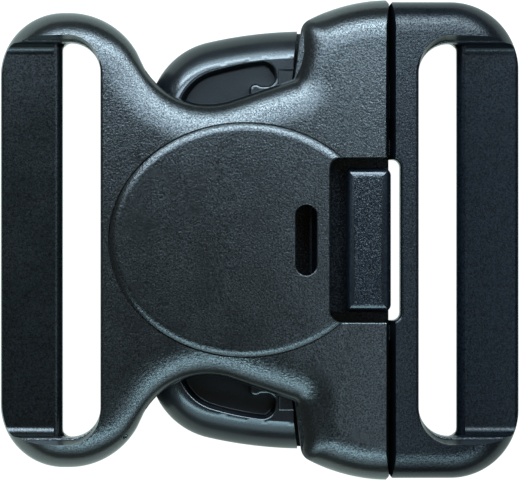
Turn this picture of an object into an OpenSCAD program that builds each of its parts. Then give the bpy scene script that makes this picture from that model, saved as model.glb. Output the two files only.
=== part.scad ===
// Side-squeeze belt buckle with a centre release tab, shown fastened.
// It lies on its back: X runs along the belt, Y across it, Z towards the viewer.

/* [Overall] */
// Length from strap bar to strap bar
total_l = 68.2; // [68:0.1:68.6]
// Thickness at the middle of the crown
thick = 13.4; // [13.2:0.1:14]
// Radius of the front's long crown, in side view
crown_r = 170; // [160:5:260]
// Rounding of the back's outer edge
back_r = 1.4; // [1:0.1:1.6]

/* [Strap bars] */
// Width of the belt webbing
webbing_w = 50; // [49:0.5:51]
// Spare length of a strap slot past the webbing
slot_spare = 2; // [1.5:0.1:2.4]
// Opening of a strap slot along the belt
slot_w = 4.9; // [4.8:0.1:5.2]
// Width of a strap bar
bar_w = 8.2; // [8:0.1:8.6]
// Front face of a strap bar above the back plane
bar_top = 6.6; // [6.2:0.1:7]
// Back face of a strap bar above the back plane
bar_back = 1.2; // [0.8:0.1:1.4]
// Rounding that the webbing turns over
bar_round = 1.8; // [1.4:0.1:2]
// Corner radius of a slot on the bar side
slot_bar_r = 0.8; // [0.6:0.1:0.9]
// Corner radius of a slot on the frame side
slot_frame_r = 3.9; // [3:0.1:3.9]

/* [Socket outline] */
// Half width across the ears
ear_y = 29.9; // [29.7:0.05:30]
// Corner radius at the bar end of the ears
ear_r = 8.3; // [8:0.1:8.4]
// Place along the belt where the hips begin to fall in
hip_x = -25.1; // [-25.2:0.05:-25]
// Radius of the hips, from the ears down to the waist
hip_r = 10.3; // [10.2:0.1:10.4]
// Half width at the narrowest of the waist
waist_y = 17.9; // [17.8:0.1:18.1]
// Place of the narrowest of the waist along the belt
waist_x = -6.8; // [-7:0.1:-6.7]
// Radius of the hollow of the waist
waist_r = 9.77; // [9.7:0.01:9.9]
// Half width of the block at the mouth
block_y = 31.45; // [31.4:0.05:31.5]
// Radius of the block's long sides
block_r = 20; // [19.8:0.1:20.2]
// End face of the socket at the mouth
mouth_x = 16.9; // [16.8:0.05:16.95]

/* [Plug outline] */
// End face of the plug frame at the seam
seam_x = 17.1; // [17.05:0.05:17.2]
// Half width of the plug frame
plug_y = 31.3; // [31.1:0.05:31.45]
// Corner radius at the bar end of the plug frame
plug_r = 9; // [8.6:0.1:9.4]
// Depth of the rail's notch in front of the tab
notch_x = 18.45; // [18.4:0.05:18.6]
// Half length of that notch
notch_y = 10.55; // [10.4:0.05:10.6]
// Corner radius of that notch
notch_r = 1; // [0.8:0.1:1.2]

/* [Squeeze levers] */
// Centre of the tip's round
tip_x = -4.5; // [-4.6:0.1:-4.4]
// Distance of that centre from the belt's middle line
tip_y = 16.3; // [16.2:0.05:16.35]
// Radius of the tip's round
tip_r = 9.95; // [9.9:0.05:10]
// Slope of the lever's straight side
side_tilt = 6.8; // [6.6:0.1:7]
// Thickness of a lever
lever_t = 7; // [6.8:0.1:7]
// Width of the rim round the finger pocket
pocket_rim = 3.6; // [3.55:0.05:3.8]
// Thickness of the web at the pocket's floor
web_t = 2; // [1.6:0.1:2.4]
// Distance of the arm roots along the belt
root_x = 16.5; // [16.4:0.05:16.55]
// Distance of the arm roots from the middle line
root_y = 18.5; // [18.4:0.1:18.6]
// Width of a spring arm
arm_w = 5; // [4.8:0.1:5]

/* [Release tab] */
// Left side of the tab's button
tab_x0 = 11.4; // [11.3:0.1:11.6]
// Right side of the tab's button
tab_x1 = 17.25; // [17.15:0.05:17.3]
// Half length of the button
tab_y = 9.45; // [9.3:0.05:9.6]
// Top of the button
tab_top = 11.6; // [11.2:0.1:11.8]
// Radius of the button's left corners
tab_left_r = 0.6; // [0.4:0.1:0.8]
// Radius of the button's right corners
tab_right_r = 1; // [0.8:0.1:1.2]
// Bevel round the button's top
tab_bevel = 0.9; // [0.7:0.1:1]
// Root of the tab's tongue along the belt
tongue_x = -1; // [-1.2:0.1:-0.8]
// Half width of the tongue
tongue_y = 5; // [4.8:0.1:5]

/* [Front face] */
// Left side of the window that the tab stands in
window_x = 9.3; // [9.2:0.1:9.4]
// Half length of the window
window_y = 10.8; // [10.7:0.05:10.9]
// Corner radius of the window
window_r = 1.3; // [1.1:0.1:1.5]
// Middle of the oval pad along the belt
pad_x = -1.9; // [-2.1:0.1:-1.7]
// Half length of the pad
pad_a = 17.8; // [17.6:0.1:18]
// Half width of the pad
pad_b = 15.45; // [15.3:0.05:15.5]
// Height of the pad above the crown
pad_rise = 0.3; // [0.2:0.05:0.4]
// Middle of the small oblong slot along the belt
peep_x = 6.08; // [6:0.02:6.12]
// Half width of the oblong slot
peep_r = 1.27; // [1.2:0.01:1.3]
// Half length of the oblong slot
peep_y = 4.5; // [4.3:0.1:4.6]

/* [Hidden] */
$fn = 48;

socket_colour = [0.16, 0.18, 0.19];
plug_colour = [0.14, 0.16, 0.19];
lever_colour = [0.12, 0.14, 0.16];
tab_colour = [0.1, 0.11, 0.13];

half_l = total_l / 2;
past = 1;
high = thick + past;

// Rim of the front edge as [width, height], from the full round to a thin lip
full_rim = [5, 4.8];
waist_rim = [4.4, 2.5];
foot_rim = [1.8, 2.3];
shoulder_rim = [1.2, 2.2];

// Recesses over and under a strap bar: how far they pass the slot's ends and its edge
recess_spare = 0.6;
recess_step = 0.2;

// Inner room of the socket, its side windows, and the running gap left in it
room_z0 = 2.5;
room_z1 = 10.3;
run = 0.4;
room_x0 = tip_x - tip_r - 0.6;
wall_y = 25.6;
side_window_y = 20;
lever_z0 = (room_z0 + room_z1 - lever_t) / 2;
lever_mid = lever_z0 + lever_t / 2;

// Shoulder that the levers lock on: a point on it, its lean, its outer corner and its sill
shoulder = [5.4, 27.3];
lean = 7.8;
latch_gap = 0.45;
corner_r = 1.5;
sill_w = 1.1;
sill_y0 = 20.4;
sill_y1 = 26.8;

// Core between the levers, wide at the mouth end and narrow at their tips
core_x = 6.1;
core_y_mouth = 13;
core_y_tip = 5.1;

// Groove along the seam
groove_z = 8.4;
groove_socket = 0.35;
groove_plug = 0.7;

// Catch bar and its two rails, on the plug
catch_x0 = 6.6;
catch_x1 = 8.8;
catch_y = 13.2;
rail_y = 11.2;
catch_z0 = 6.1;
catch_z1 = 8.9;

// Tongue, catch plate and root of the release tab
plate_x = catch_x1 + 0.3;
plate_z0 = 5;
plate_z1 = 7;
tongue_z0 = 2.4;
tongue_z1 = 4.4;
tongue_root_r = 1.3;
tongue_slot = tongue_y + run;
knuckle_gap = 0.2;

function mix(a, b, t) = a + (b - a) * t;
function along(x) = sqrt(crown_r * crown_r - x * x) - crown_r;
function crown(x) = thick + along(x);
function unit(v) = v / norm(v);
function locked_x(y) = shoulder.x + (y - shoulder.y) * tan(lean);

// Points of an arc without its last one, each with its rim as [x, y, width, height]
function arc(centre, r, from, to, steps, rim_from, rim_to) =
    [for (i = [0 : steps - 1])
        let (t = i / steps, a = mix(from, to, t), rim = mix(rim_from, rim_to, t))
        [centre.x + r * cos(a), centre.y + r * sin(a), rim.x, rim.y]];
function row(x, y, rim) = [x, y, rim.x, rim.y];

// The shoulder's outer corner, tangent to the shoulder and to the block's long side
block_c = [mouth_x, block_y - block_r];
corner_from = shoulder + corner_r * [cos(lean), -sin(lean)] - block_c;
corner_up = corner_from * [sin(lean), cos(lean)];
corner_reach = pow(block_r - corner_r, 2) + corner_up * corner_up - corner_from * corner_from;
corner_c = block_c + corner_from + (sqrt(corner_reach) - corner_up) * [sin(lean), cos(lean)];
shoulder_a = atan2(corner_c.y - block_c.y, corner_c.x - block_c.x);

// Straight flank from the waist up to the shoulder's foot
hip_turn = 60;
flank_turn = 18.3;
foot_x = 4.5;
function flank_y(x) = waist_y + waist_r * (1 - cos(flank_turn))
    + (x - waist_x - waist_r * sin(flank_turn)) * tan(flank_turn);

// Upper half of the socket's outline, from the bar end to the mouth
rim_blend_a = 112.3;
socket_half = concat(
    arc([ear_r - half_l, ear_y - ear_r], ear_r, 180, 90, 9, full_rim, full_rim),
    arc([hip_x, ear_y - hip_r], hip_r, 90, 90 - hip_turn, 7, full_rim, full_rim),
    [row(hip_x + hip_r * sin(hip_turn), ear_y - hip_r + hip_r * cos(hip_turn), full_rim)],
    arc([waist_x, waist_y + waist_r], waist_r, 270 - hip_turn, 270 + flank_turn, 10,
        full_rim, waist_rim),
    [row(waist_x + waist_r * sin(flank_turn), flank_y(waist_x + waist_r * sin(flank_turn)),
         waist_rim),
     row(foot_x - 3, flank_y(foot_x - 3), waist_rim),
     row(foot_x, flank_y(foot_x), foot_rim),
     row(locked_x(23), 23, shoulder_rim)],
    arc(corner_c, corner_r, 180 - lean, shoulder_a, 3, shoulder_rim, shoulder_rim),
    arc(block_c, block_r, shoulder_a, rim_blend_a, 4, shoulder_rim, full_rim),
    arc(block_c, block_r, rim_blend_a, 90, 5, full_rim, full_rim),
    [row(mouth_x, block_y, full_rim)]
);

// Upper half of the plug frame's outline, mirrored left to right
plug_half = concat(
    arc([plug_r - half_l, plug_y - plug_r], plug_r, 180, 90, 11, full_rim, full_rim),
    [for (t = [0, 0.5, 1]) row(mix(plug_r - half_l, -seam_x, t), plug_y, full_rim)]
);

// Direction into the material at row i of a half outline
function inward(half, i) =
    let (last = len(half) - 1,
         here = [half[i].x, half[i].y],
         next = i < last ? [half[i + 1].x, half[i + 1].y] : here + [1, 0],
         prev = i > 0 ? [half[i - 1].x, half[i - 1].y] : here - [0, 1],
         t = i < last ? unit(unit(next - here) + unit(here - prev)) : [1, 0])
    [t.y, -t.x];

// One row's point on the back edge's round, and on the front rim, at angle a
function back_point(row, m, a) =
    [row.x + m.x * back_r * (1 - cos(a)), row.y + m.y * back_r * (1 - cos(a)),
     back_r * (1 - sin(a))];
function rim_point(row, m, a) =
    let (x = row.x + m.x * row[2] * (1 - cos(a)))
    [x, row.y + m.y * row[2] * (1 - cos(a)), crown(x) - row[3] * (1 - sin(a))];

// Solid under the crown, from half an outline that is open at its last row
module crowned(half) {
    n = len(half);
    back_angles = [90, 45, 0];
    rim_angles = [0, 18, 36, 54, 72, 90];
    dirs = [for (i = [0 : n - 1]) inward(half, i)];
    rings = concat(
        [for (a = back_angles) [for (i = [0 : n - 1]) back_point(half[i], dirs[i], a)]],
        [for (a = rim_angles) [for (i = [0 : n - 1]) rim_point(half[i], dirs[i], a)]]
    );
    count = 2 * n;
    points = [for (ring = rings) for (i = [0 : count - 1])
        i < n ? ring[i] : let (p = ring[count - 1 - i]) [p.x, -p.y, p.z]];
    top = (len(rings) - 1) * count;
    sides = [for (k = [0 : len(rings) - 2]) for (i = [0 : count - 1])
        let (a = k * count + i, b = k * count + (i + 1) % count)
        each [[a, b, a + count], [b, b + count, a + count]]];
    caps = [for (i = [0 : n - 2])
        let (j = count - 1 - i)
        each [[i, j, j - 1, i + 1], [top + i, top + i + 1, top + j - 1, top + j]]];
    polyhedron(points, concat(sides, caps));
}

// Upright block with its own corner radius at its left and right ends, half_y to each side
module slot_block(x0, x1, half_y, left_r, right_r, z0, z1) {
    translate([0, 0, z0])
        linear_extrude(z1 - z0)
        difference() {
            translate([x0, -half_y]) square([x1 - x0, 2 * half_y]);
            corner_cut(x0, half_y, left_r, 1);
            corner_cut(x1, half_y, right_r, -1);
        }
}

// What two rounded corners at x take off, with the material on the side given
module corner_cut(x, half_y, r, side) {
    for (s = [-1, 1])
        difference() {
            translate([x + side * (r - past) / 2, s * (half_y - (r - past) / 2)])
                square(r + past, center = true);
            translate([x + side * r, s * (half_y - r)]) circle(r = r);
        }
}

// Strap slot and bar of the left end: the slot, the two recesses and the rounded edges
module bar_cutter() {
    slot_y = (webbing_w + slot_spare) / 2;
    bar_x = bar_w - half_l;
    recess_y = slot_y + recess_spare;
    recess_l = bar_w + past + recess_step;
    slot_block(bar_x, bar_x + slot_w, slot_y, slot_bar_r, slot_frame_r, -past, high);
    translate([-half_l - past, -recess_y, bar_top]) cube([recess_l, 2 * recess_y, high]);
    translate([-half_l - past, -recess_y, -past])
        cube([recess_l, 2 * recess_y, past + bar_back]);
    for (face = [[bar_top, -1], [bar_back, 1]])
        edge_round(bar_x, face[0], face[1], 2 * recess_y);
}

// What a rounded edge along Y takes off: right of x, below or above z
module edge_round(x, z, side, length) {
    r = bar_round;
    difference() {
        translate([x - r, -length / 2, side < 0 ? z - r : z - past])
            cube([r + recess_step / 2, length, r + past]);
        translate([x - r, -length, z + side * r])
            rotate([-90, 0, 0])
            cylinder(r = r, h = 2 * length);
    }
}

// Wedge that opens the seam's groove, leaning from x at the groove's foot
module groove_cutter(x, lean_x) {
    reach = 3;
    top_z = groove_z + reach * (thick - groove_z);
    rotate([90, 0, 0])
        translate([0, 0, -block_y - past])
        linear_extrude(2 * (block_y + past))
        polygon([[x, groove_z], [x + reach * lean_x, top_z],
                 [x - lean_x, top_z], [x - lean_x, groove_z]]);
}

// Socket's room seen from the front: the mouth and the two waist windows, less the core
module room_shape() {
    far_y = 1.1 * block_y;
    difference() {
        union() {
            translate([room_x0, -wall_y])
                square([mouth_x + past - room_x0, 2 * wall_y]);
            for (s = [-1, 1])
                polygon([[room_x0, s * side_window_y],
                         [locked_x(side_window_y), s * side_window_y],
                         [locked_x(far_y), s * far_y],
                         [room_x0, s * far_y]]);
        }
        polygon([[room_x0 - past, -core_y_tip], [core_x, -core_y_mouth],
                 [core_x, core_y_mouth], [room_x0 - past, core_y_tip]]);
    }
}

// Raised oval pad, cut to follow the crown
module pad() {
    steps = 72;
    intersection() {
        translate([pad_x, 0, (room_z1 + thick) / 2 - past])
            linear_extrude(thick)
            polygon([for (i = [0 : steps - 1])
                [pad_a * cos(i * 360 / steps), pad_b * sin(i * 360 / steps)]]);
        translate([0, block_y, thick + pad_rise - crown_r])
            rotate([90, 0, 0])
            cylinder(r = crown_r, h = 2 * block_y, $fn = 360);
    }
}

// Sills on the back under the levers' locking ends, left of the shoulders
module sills() {
    for (s = [-1, 1])
        translate([0, 0, back_r])
            linear_extrude(room_z0 - back_r)
            polygon([[locked_x(sill_y0) - sill_w, s * sill_y0],
                     [locked_x(sill_y0) + sill_w, s * sill_y0],
                     [locked_x(sill_y1) + sill_w, s * sill_y1],
                     [locked_x(sill_y1) - sill_w, s * sill_y1]]);
}

module socket_body() {
    color(socket_colour) {
        difference() {
            union() {
                crowned(socket_half);
                pad();
            }
            bar_cutter();
            translate([0, 0, room_z0]) linear_extrude(room_z1 - room_z0) room_shape();
            groove_cutter(mouth_x, -groove_socket);
            slot_block(window_x, mouth_x + 2 * window_r, window_y, window_r, window_r,
                       room_z0 + 1, high);
            slot_block(peep_x - peep_r, peep_x + peep_r, peep_y, peep_r, peep_r,
                       tongue_z1 + run, high);
            tongue_slot_cutter();
        }
        sills();
    }
}

// Slot in the socket's back that the tongue bends in, with the seat of its root
module tongue_slot_cutter() {
    translate([tongue_x, -tongue_slot, -past])
        cube([mouth_x + past - tongue_x, 2 * tongue_slot, tongue_z1 + run + past]);
    translate([tongue_x, -tongue_slot, (tongue_z0 + tongue_z1) / 2])
        rotate([-90, 0, 0])
        cylinder(r = tongue_root_r + knuckle_gap, h = 2 * tongue_slot);
}

module plug_frame() {
    color(plug_colour)
        difference() {
            union() {
                mirror([1, 0, 0]) crowned(plug_half);
                catch_bar();
            }
            mirror([1, 0, 0]) bar_cutter();
            mirror([1, 0, 0]) groove_cutter(-seam_x, -groove_plug);
            slot_block(seam_x - 2 * notch_r, notch_x, notch_y, notch_r, notch_r, -past, high);
            for (s = [-1, 1])
                translate([root_x, s * root_y, room_z0])
                    cylinder(r = arm_w / 2 + knuckle_gap, h = groove_z - room_z0);
        }
}

// Two rails into the socket, joined by the bar that the tab's plate catches
module catch_bar() {
    height = catch_z1 - catch_z0;
    for (s = [-1, 1])
        translate([catch_x0, s > 0 ? rail_y : -catch_y, catch_z0])
            cube([seam_x + past - catch_x0, catch_y - rail_y, height]);
    translate([catch_x0, -catch_y, catch_z0])
        cube([catch_x1 - catch_x0, 2 * catch_y, height]);
}

// Lever of the upper side, with its round root, spring arm and hollowed finger rim
module lever() {
    translate([0, 0, lever_mid])
        difference() {
            union() {
                difference() {
                    union() {
                        lever_tip();
                        lever_side();
                    }
                    translate([0, 0, -lever_t])
                        linear_extrude(2 * lever_t)
                        polygon([[locked_x(0) - latch_gap, 0],
                                 [root_x, 0],
                                 [root_x, block_y],
                                 [locked_x(block_y) - latch_gap, block_y]]);
                }
                translate([tip_x, root_y - arm_w / 2, -lever_t / 2])
                    cube([mouth_x - 1.5 * run - tip_x, arm_w, lever_t]);
                translate([root_x, root_y, -lever_t / 2])
                    cylinder(r = arm_w / 2, h = groove_z - run - lever_z0);
            }
            for (z = [web_t / 2, -web_t / 2 - lever_t])
                translate([0, 0, z])
                    linear_extrude(lever_t)
                    pocket_shape();
        }
}

// Round tip: a sector whose outer edge is half round
module lever_tip() {
    round_r = lever_t / 2;
    inner_end = 202;
    translate([tip_x, tip_y, 0])
        rotate([0, 0, 90 + side_tilt])
        rotate_extrude(angle = inner_end - 90 - side_tilt, $fn = 96) {
            translate([0, -round_r]) square([tip_r - round_r, lever_t]);
            translate([tip_r - round_r, 0]) circle(r = round_r);
        }
}

// Straight side: a slab whose outer edge is half round, leaning by the side's tilt
module lever_side() {
    round_r = lever_t / 2;
    length = 14;
    depth = tip_r - round_r;
    translate([tip_x, tip_y, 0])
        rotate([0, 0, side_tilt]) {
            translate([0, 0, -round_r]) cube([length, depth, lever_t]);
            translate([0, depth, 0]) rotate([0, 90, 0]) cylinder(r = round_r, h = length);
        }
}

// Finger pocket seen from the front, with the hook in its inner edge
module pocket_shape() {
    r = tip_r - pocket_rim;
    hook_x = -1.3;
    hook_y = 20.2;
    hook_r = 1.25;
    end_x = 2.3;
    intersection() {
        union() {
            translate([tip_x, tip_y]) circle(r = r);
            translate([tip_x, tip_y]) rotate(side_tilt) square([2 * r, r]);
        }
        union() {
            translate([tip_x - r, tip_y - 1]) square([hook_x - tip_x + r, r + 3]);
            translate([hook_x - 1, hook_y]) square([end_x - hook_x, r]);
            translate([end_x - hook_r, hook_y + 1.2]) circle(r = hook_r);
            translate([end_x - hook_r, hook_y + 1.2]) square([hook_r, 1.2]);
        }
    }
}

module upper_lever() {
    color(lever_colour) lever();
}

module lower_lever() {
    color(lever_colour) mirror([0, 1, 0]) lever();
}

// Button, catch plate and tongue of the centre release
module release_tab() {
    color(tab_colour) {
        difference() {
            slot_block(tab_x0, tab_x1, tab_y, tab_left_r, tab_right_r, plate_z0, tab_top);
            for (s = [-1, 1])
                translate([tab_x0 - past, s * tab_y, tab_top])
                    rotate([45, 0, 0])
                    translate([0, -tab_bevel * sqrt(0.5), -tab_bevel * sqrt(0.5)])
                    cube([tab_x1 - tab_x0 + 2 * past, tab_bevel * sqrt(2), tab_bevel * sqrt(2)]);
            for (x = [tab_x0, tab_x1])
                translate([x, -tab_y - past, tab_top])
                    rotate([0, 45, 0])
                    translate([-tab_bevel * sqrt(0.5), 0, -tab_bevel * sqrt(0.5)])
                    cube([tab_bevel * sqrt(2), 2 * (tab_y + past), tab_bevel * sqrt(2)]);
        }
        slot_block(plate_x, tab_x1, tab_y, tab_left_r, tab_right_r, plate_z0, plate_z1);
        translate([tongue_x, -tongue_y, tongue_z0])
            cube([tab_x1 - tongue_x, 2 * tongue_y, tongue_z1 - tongue_z0]);
        translate([plate_x, -tongue_y, tongue_z0])
            cube([tab_x1 - plate_x, 2 * tongue_y, plate_z1 - tongue_z0]);
        translate([tongue_x, -tongue_y, (tongue_z0 + tongue_z1) / 2])
            rotate([-90, 0, 0])
            cylinder(r = tongue_root_r, h = 2 * tongue_y);
    }
}

socket_body();
plug_frame();
upper_lever();
lower_lever();
release_tab();
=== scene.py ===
"""Looks of a fastened side-squeeze belt buckle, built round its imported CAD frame.

Sizes are in millimetres while a mesh is shaped, and in the frame's metres once it is finished.
X runs along the belt, Y across it and Z towards the viewer; the back lies on the floor at Z 0.
"""

import logging
import math
from collections.abc import Callable, Iterable, Iterator, Sequence
from contextlib import contextmanager
from dataclasses import dataclass, field
from enum import Enum

import bmesh
import bpy
from bmesh.types import BMesh, BMVert
from mathutils import Matrix, Vector, geometry


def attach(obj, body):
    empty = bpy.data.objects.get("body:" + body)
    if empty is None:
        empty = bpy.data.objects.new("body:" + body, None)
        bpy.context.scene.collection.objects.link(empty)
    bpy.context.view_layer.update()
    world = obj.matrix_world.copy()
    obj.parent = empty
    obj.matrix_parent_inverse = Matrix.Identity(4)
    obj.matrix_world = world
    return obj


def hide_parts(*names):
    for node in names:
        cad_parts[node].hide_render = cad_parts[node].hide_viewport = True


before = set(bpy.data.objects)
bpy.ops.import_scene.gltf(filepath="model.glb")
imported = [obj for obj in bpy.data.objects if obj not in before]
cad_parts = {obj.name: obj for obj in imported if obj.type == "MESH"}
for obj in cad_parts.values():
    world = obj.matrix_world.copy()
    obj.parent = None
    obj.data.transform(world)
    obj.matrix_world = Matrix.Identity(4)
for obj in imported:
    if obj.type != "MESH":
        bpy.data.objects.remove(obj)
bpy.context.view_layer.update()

log = logging.getLogger("buckle")

MM = 0.001
MERGE = 0.001  # vertices nearer than this become one
NEAR = 0.001  # lengths that differ by less count as the same
HAIR = 0.02  # keeps a ring from falling on the one under it
CLEAR = 1.0  # how far a tool reaches past what it cuts
RIM_STEPS = 14
STRIP_W = 1.5  # the curved front is laid in strips of this width
SLIVER = 0.1  # the last strip is no narrower than this
SHARP_FROM = 32.0  # degrees between two faces from which their edge stays sharp
LAID = Matrix.Rotation(math.pi / 2, 3, "X")  # lays a solid that stands along Z along Y
PHOTO_W = 519  # pixels

Plan = tuple[float, float] | Vector
Piece = bpy.types.Object
Value = float | Sequence[float] | bpy.types.NodeSocket
Spot = Callable[[int], Vector]
Height = Callable[[float], float]


class Axis(Enum):
    """The frame's axes, by their place in a vector."""

    X = 0
    Y = 1
    Z = 2


class Side(Enum):
    """The two sides of the belt's middle line, by the sign of Y."""

    UPPER = 1
    LOWER = -1

    @property
    def word(self) -> str:
        """The side in the names of its pieces."""
        return self.name.lower()


@dataclass(frozen=True)
class Rim:
    """Round of a top edge: how far it reaches inwards and down, and the angle it starts at."""

    width: float = 0.0
    height: float = 0.0
    start: float = 0.0

    def towards(self, other: "Rim", share: float) -> "Rim":
        """The rim that lies some share of the way to another one.

        Args:
            other: The other rim.
            share: The share.

        Returns:
            The rim between the two.
        """
        return Rim(self.width + (other.width - self.width) * share,
                   self.height + (other.height - self.height) * share,
                   self.start + (other.start - self.start) * share)

    def at(self, share: float) -> Plan:
        """Point of the round, from its outer end to its inner one.

        Args:
            share: How far along the round the point lies.

        Returns:
            The share of the width passed and the depth still left, in millimetres.
        """
        first = math.radians(self.start)
        a = first + (math.pi / 2 - first) * share
        return (1 - math.cos(a) / math.cos(first),
                self.height * (1 - math.sin(a)) / (1 - math.sin(first)))


SHARP = Rim()


class Pen:
    """Draws half a plan outline, from left to right over the middle line, vertex by vertex."""

    def __init__(self, start: Plan, rim: Rim = SHARP) -> None:
        """Puts the pen down.

        Args:
            start: Where the outline begins.
            rim: Rim of the edge there.
        """
        self.bm: BMesh = bmesh.new()
        self.chain: list[BMVert] = [self.bm.verts.new((*start, 0.0))]
        self.rims: list[Rim] = [rim]
        self.fixed: dict[int, Vector] = {}
        self.bend = 0.0

    def _step(self, rim: Rim) -> BMVert:
        """Extrudes the last vertex by one more, with its rim.

        Args:
            rim: The rim there.

        Returns:
            The new vertex.
        """
        made = bmesh.ops.extrude_vert_indiv(self.bm, verts=[self.chain[-1]])["verts"][0]
        self.chain.append(made)
        self.rims.append(rim)
        return made

    def line(self, to: Plan, rim: Rim | None = None, steps: int = 1) -> "Pen":
        """Draws a straight line.

        Args:
            to: Where it ends.
            rim: Rim at its end, reached evenly; the last one goes on if it is None.
            steps: Number of edges.

        Returns:
            The pen itself.
        """
        self.bend = 0.0
        start, first = self.chain[-1].co.copy(), self.rims[-1]
        end = Vector((*to, 0.0))
        for i in range(1, steps + 1):
            share = i / steps
            self._step(first.towards(rim or first, share)).co = start.lerp(end, share)
        return self

    def arc(self, centre: Plan, turn: float, steps: int, rim: Rim | None = None) -> "Pen":
        """Draws an arc.

        Args:
            centre: Its centre.
            turn: Angle it turns through, in degrees, anticlockwise if positive.
            steps: Number of edges.
            rim: Rim at its end, reached evenly; the last one goes on if it is None.

        Returns:
            The pen itself.
        """
        self.bend = turn / steps
        first, middle = self.rims[-1], Vector((*centre, 0.0))
        by = Matrix.Rotation(math.radians(turn / steps), 3, "Z")
        for i in range(1, steps + 1):
            made = self._step(first.towards(rim or first, i / steps))
            bmesh.ops.rotate(self.bm, verts=[made], cent=middle, matrix=by)
        return self

    def turn(self, radius: float, turn: float, steps: int) -> "Pen":
        """Draws an arc that goes on from the last edge without a kink.

        Args:
            radius: Its radius.
            turn: Angle it turns through, in degrees, anticlockwise if positive.
            steps: Number of edges.

        Returns:
            The pen itself.
        """
        here, back = self.chain[-1].co, self.chain[-2].co
        way = (here - back).normalized()
        if self.bend:
            way.rotate(Matrix.Rotation(math.radians(self.bend / 2), 3, "Z"))
        side = math.copysign(radius, turn)
        return self.arc((here.x - way.y * side, here.y + way.x * side), turn, steps)

    def fix_inward(self, way: Plan) -> "Pen":
        """Says which way the rim at the last vertex runs inwards."""
        self.fixed[len(self.chain) - 1] = Vector((*way, 0.0))
        return self

    def mirrored(self) -> "Wall":
        """Mirrors the half over the middle line, closes both ends and starts a wall on it.

        Returns:
            The wall.
        """
        edges = [e for v in self.chain for e in v.link_edges]
        geom = list(self.chain) + list(dict.fromkeys(edges))
        made = bmesh.ops.duplicate(self.bm, geom=geom)
        twin = [made["vert_map"][v] for v in self.chain]
        bmesh.ops.scale(self.bm, verts=twin, vec=(1.0, -1.0, 1.0))
        self.bm.edges.new((self.chain[0], twin[0]))
        self.bm.edges.new((self.chain[-1], twin[-1]))
        count = len(self.chain)
        fixed = dict(self.fixed)
        for i, way in self.fixed.items():
            fixed[2 * count - 1 - i] = Vector((way.x, -way.y, 0.0))
        return Wall(self.bm, self.chain + twin[::-1], self.rims + self.rims[::-1], fixed)

    def closed(self) -> "Wall":
        """Closes the outline by a straight edge and starts a wall on it."""
        self.bm.edges.new((self.chain[-1], self.chain[0]))
        return Wall(self.bm, self.chain, self.rims, self.fixed)


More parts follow.
